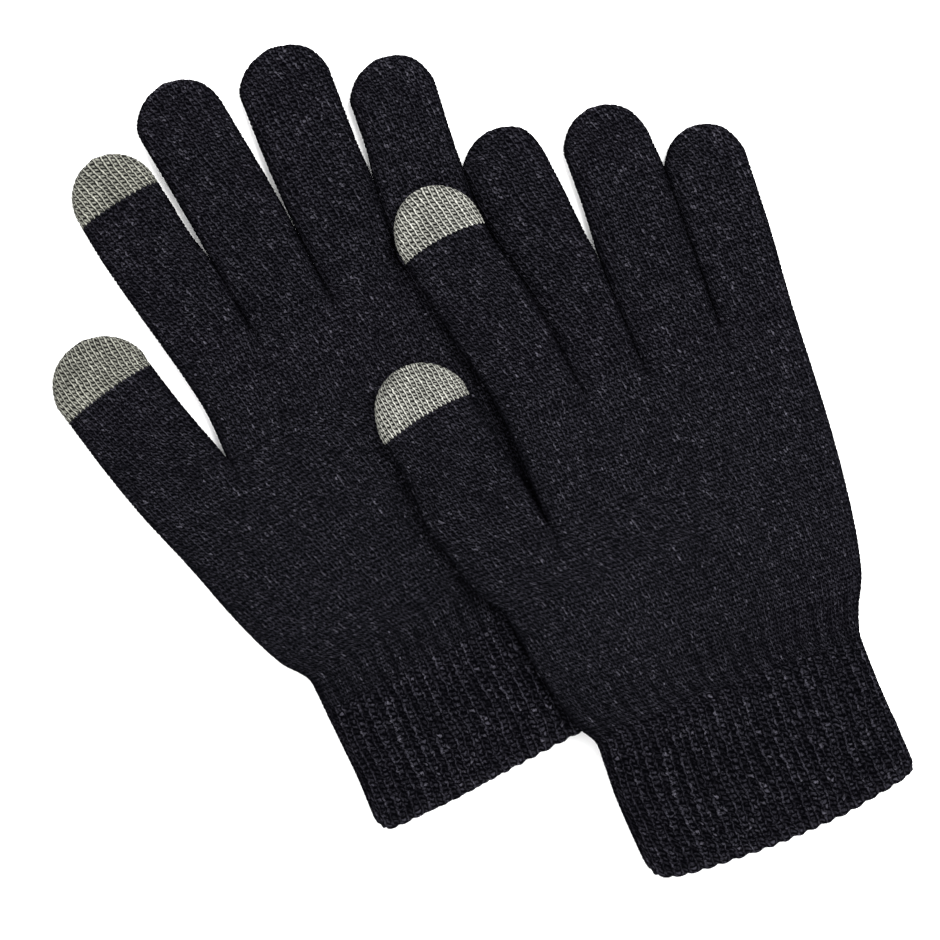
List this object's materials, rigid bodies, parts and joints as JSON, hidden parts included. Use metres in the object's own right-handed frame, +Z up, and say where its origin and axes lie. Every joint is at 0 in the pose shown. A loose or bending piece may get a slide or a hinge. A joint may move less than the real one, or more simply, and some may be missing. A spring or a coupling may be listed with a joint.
{
  "type": "pair of knitted touchscreen gloves",
  "caption": "Pair of stretchy rib-cuffed knitted gloves lying flat, one overlapping the other, with conductive thumb and index tips for touchscreens.",
  "frame": {"origin": "middle of the pair's outline, on the surface that the gloves lie on", "axes": "+X from the thumbs towards the little fingers, +Y from the cuffs towards the fingertips, +Z up from the surface"},
  "size_m": [0.2258, 0.2824, 0.0163],
  "materials": {
    "black_knit": "matt acrylic stretch knit",
    "pale_grey_knit": "conductive yarn knit",
    "dark_grey_knit": "conductive yarn knit",
    "hem_thread": "overlock thread",
    "elastic_thread": "covered elastic"
  },
  "bodies": {
    "over_hand": {"over_cuff_elastic_1": "elastic_thread", "over_cuff_elastic_2": "elastic_thread", "over_cuff_elastic_3": "elastic_thread", "over_cuff_hem": "hem_thread", "over_cuff_rib": "black_knit", "over_palm_lower": "black_knit", "over_palm_upper": "black_knit"},
    "over_index_base": {"over_index_base": "black_knit"},
    "over_index_end": {"over_index_cap": "pale_grey_knit", "over_index_end": "black_knit"},
    "over_little_base": {"over_little_base": "black_knit"},
    "over_little_end": {"over_little_end": "black_knit"},
    "over_middle_base": {"over_middle_base": "black_knit"},
    "over_middle_end": {"over_middle_end": "black_knit"},
    "over_ring_base": {"over_ring_base": "black_knit"},
    "over_ring_end": {"over_ring_end": "black_knit"},
    "over_thumb_base": {"over_thumb_base": "black_knit"},
    "over_thumb_end": {"over_thumb_cap": "pale_grey_knit", "over_thumb_end": "black_knit"},
    "under_hand": {"under_cuff_elastic_1": "elastic_thread", "under_cuff_elastic_2": "elastic_thread", "under_cuff_elastic_3": "elastic_thread", "under_cuff_hem": "hem_thread", "under_cuff_rib": "black_knit", "under_little_base": "black_knit", "under_palm_lower": "black_knit", "under_palm_upper": "black_knit"},
    "under_index_base": {"under_index_base": "black_knit"},
    "under_index_end": {"under_index_cap": "dark_grey_knit", "under_index_end": "black_knit"},
    "under_little_end": {"under_little_end": "black_knit"},
    "under_middle_base": {"under_middle_base": "black_knit"},
    "under_middle_end": {"under_middle_end": "black_knit"},
    "under_ring_base": {"under_ring_base": "black_knit"},
    "under_ring_end": {"under_ring_end": "black_knit"},
    "under_thumb_base": {"under_thumb_base": "black_knit"},
    "under_thumb_end": {"under_thumb_cap": "dark_grey_knit", "under_thumb_end": "black_knit"}
  },
  "joints": [
    {"name": "over_glove_lift", "type": "slide", "parent": "under_hand", "child": "over_hand", "axis": [0, 0, 1], "range_m": [0, 0.06]},
    {"name": "under_thumb_root_fold", "type": "hinge", "parent": "under_hand", "child": "under_thumb_base", "pos_m": [-0.08468, 0.02426, 0.008], "axis": [0.9917, 0.1289, 0], "range_deg": [0, 90]},
    {"name": "under_thumb_knuckle_fold", "type": "hinge", "parent": "under_thumb_base", "child": "under_thumb_end", "pos_m": [-0.09189, 0.04533, 0.008], "axis": [0.9917, 0.1289, 0], "range_deg": [0, 90]},
    {"name": "under_index_root_fold", "type": "hinge", "parent": "under_hand", "child": "under_index_base", "pos_m": [-0.06106, 0.05993, 0.008], "axis": [0.9917, 0.1289, 0], "range_deg": [0, 90]},
    {"name": "under_index_knuckle_fold", "type": "hinge", "parent": "under_index_base", "child": "under_index_end", "pos_m": [-0.06921, 0.09487, 0.008], "axis": [0.9917, 0.1289, 0], "range_deg": [0, 90]},
    {"name": "under_middle_root_fold", "type": "hinge", "parent": "under_hand", "child": "under_middle_base", "pos_m": [-0.03534, 0.06328, 0.008], "axis": [0.9917, 0.1289, 0], "range_deg": [0, 90]},
    {"name": "under_middle_knuckle_fold", "type": "hinge", "parent": "under_middle_base", "child": "under_middle_end", "pos_m": [-0.04077, 0.09857, 0.008], "axis": [0.9917, 0.1289, 0], "range_deg": [0, 90]},
    {"name": "under_ring_root_fold", "type": "hinge", "parent": "under_hand", "child": "under_ring_base", "pos_m": [-0.0104, 0.06652, 0.008], "axis": [0.9917, 0.1289, 0], "range_deg": [0, 90]},
    {"name": "under_ring_knuckle_fold", "type": "hinge", "parent": "under_ring_base", "child": "under_ring_end", "pos_m": [-0.01204, 0.10231, 0.008], "axis": [0.9917, 0.1289, 0], "range_deg": [0, 90]},
    {"name": "under_little_knuckle_fold", "type": "hinge", "parent": "under_hand", "child": "under_little_end", "pos_m": [0.01697, 0.09508, 0.008], "axis": [0.9917, 0.1289, 0], "range_deg": [0, 90]},
    {"name": "over_thumb_root_fold", "type": "hinge", "parent": "over_hand", "child": "over_thumb_base", "pos_m": [0.00075, -0.02592, 0.0163], "axis": [1, 0, 0], "range_deg": [0, 90]},
    {"name": "over_thumb_knuckle_fold", "type": "hinge", "parent": "over_thumb_base", "child": "over_thumb_end", "pos_m": [-0.00392, 0.00408, 0.0163], "axis": [1, 0, 0], "range_deg": [0, 90]},
    {"name": "over_index_root_fold", "type": "hinge", "parent": "over_hand", "child": "over_index_base", "pos_m": [0.02695, 0.01112, 0.0163], "axis": [0.9994, 0.035, 0], "range_deg": [0, 90]},
    {"name": "over_index_knuckle_fold", "type": "hinge", "parent": "over_index_base", "child": "over_index_end", "pos_m": [0.01985, 0.04887, 0.0163], "axis": [0.9994, 0.035, 0], "range_deg": [0, 90]},
    {"name": "over_middle_root_fold", "type": "hinge", "parent": "over_hand", "child": "over_middle_base", "pos_m": [0.0506, 0.01195, 0.008], "axis": [0.9994, 0.035, 0], "range_deg": [0, 90]},
    {"name": "over_middle_knuckle_fold", "type": "hinge", "parent": "over_middle_base", "child": "over_middle_end", "pos_m": [0.04641, 0.0498, 0.008], "axis": [0.9994, 0.035, 0], "range_deg": [0, 90]},
    {"name": "over_ring_root_fold", "type": "hinge", "parent": "over_hand", "child": "over_ring_base", "pos_m": [0.0738, 0.01276, 0.008], "axis": [0.9994, 0.035, 0], "range_deg": [0, 90]},
    {"name": "over_ring_knuckle_fold", "type": "hinge", "parent": "over_ring_base", "child": "over_ring_end", "pos_m": [0.07352, 0.05075, 0.008], "axis": [0.9994, 0.035, 0], "range_deg": [0, 90]},
    {"name": "over_little_root_fold", "type": "hinge", "parent": "over_hand", "child": "over_little_base", "pos_m": [0.09865, 0.01363, 0.008], "axis": [0.9994, 0.035, 0], "range_deg": [0, 90]},
    {"name": "over_little_knuckle_fold", "type": "hinge", "parent": "over_little_base", "child": "over_little_end", "pos_m": [0.09984, 0.04167, 0.008], "axis": [0.9994, 0.035, 0], "range_deg": [0, 90]}
  ]
}
